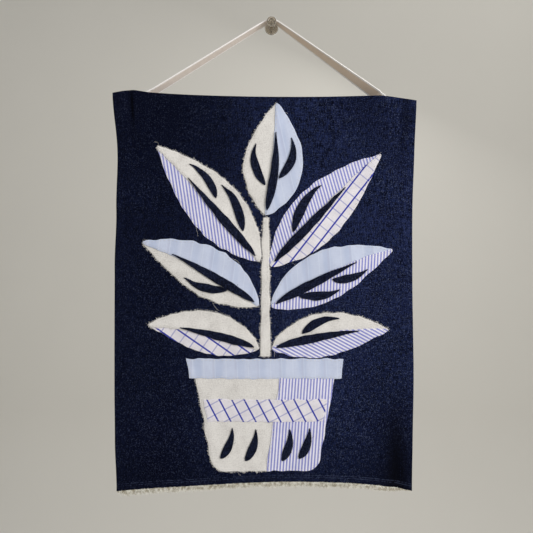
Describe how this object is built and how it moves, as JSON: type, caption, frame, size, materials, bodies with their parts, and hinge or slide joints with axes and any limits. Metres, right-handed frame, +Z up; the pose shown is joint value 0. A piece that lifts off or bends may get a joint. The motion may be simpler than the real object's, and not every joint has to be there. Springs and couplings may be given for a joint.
{
  "type": "fabric banner with hanging tape and push pin",
  "caption": "Small dark denim wall banner with raw-edge cotton applique of a potted leafy plant, hung by a flat cotton tape from a clear push pin.",
  "frame": {"origin": "centre of the push pin's flange on the surface that the pin is pushed into, where its needle enters", "axes": "+X to the right seen from the front, +Z up, the banner's front faces -Y and +Y points into the surface that the pin is pushed into"},
  "size_m": [0.2292, 0.0279, 0.366],
  "materials": {
    "denim": "dark indigo twill denim with small light weft flecks",
    "selvedge": "fluffy undyed cream weft ends",
    "tape": "white flat cotton tape with firm edges",
    "clear_plastic": "clear moulded plastic",
    "needle_steel": "drawn steel",
    "cream_cotton": "off-white brushed cotton with raw frayed edges",
    "striped_shirting": "white shirting with thin violet-blue stripes",
    "pale_blue_shirting": "pale blue shirting with tonal stripes",
    "windowpane_shirting": "white shirting with a blue windowpane check",
    "dark_denim": "dark indigo denim cut in narrow tapered strips"
  },
  "bodies": {
    "root": {"denim_panel": "denim", "selvedge_fringe": "selvedge", "hanging_tape": "tape", "push_pin": "clear_plastic", "pin_needle": "needle_steel", "stem": "cream_cotton", "leaf_crown_left": "cream_cotton", "leaf_crown_right": "pale_blue_shirting", "leaf_upper_left_left": "striped_shirting", "leaf_upper_left_right": "cream_cotton", "leaf_upper_right_left": "striped_shirting", "leaf_upper_right_right": "windowpane_shirting", "leaf_middle_left_left": "cream_cotton", "leaf_middle_left_right": "pale_blue_shirting", "leaf_middle_right_left": "pale_blue_shirting", "leaf_middle_right_right": "striped_shirting", "leaf_lower_left_left": "windowpane_shirting", "leaf_lower_left_right": "cream_cotton", "leaf_lower_right_left": "cream_cotton", "leaf_lower_right_right": "striped_shirting", "vein_crown_mid": "dark_denim", "vein_crown_side_1": "dark_denim", "vein_crown_side_2": "dark_denim", "vein_upper_left_mid": "dark_denim", "vein_upper_left_side_1": "dark_denim", "vein_upper_left_side_2": "dark_denim", "vein_upper_right_mid": "dark_denim", "vein_upper_right_side_1": "dark_denim", "vein_middle_left_mid": "dark_denim", "vein_middle_left_side_1": "dark_denim", "vein_middle_right_mid": "dark_denim", "vein_middle_right_side_1": "dark_denim", "vein_middle_right_side_2": "dark_denim", "vein_lower_left_mid": "dark_denim", "vein_lower_right_mid": "dark_denim", "vein_lower_right_side_1": "dark_denim", "pot_rim": "pale_blue_shirting", "pot_body": "cream_cotton", "pot_side": "striped_shirting", "pot_band": "windowpane_shirting", "pot_strip_1": "dark_denim", "pot_strip_2": "dark_denim", "pot_strip_3": "dark_denim", "pot_strip_4": "dark_denim"}
  },
  "joints": []
}
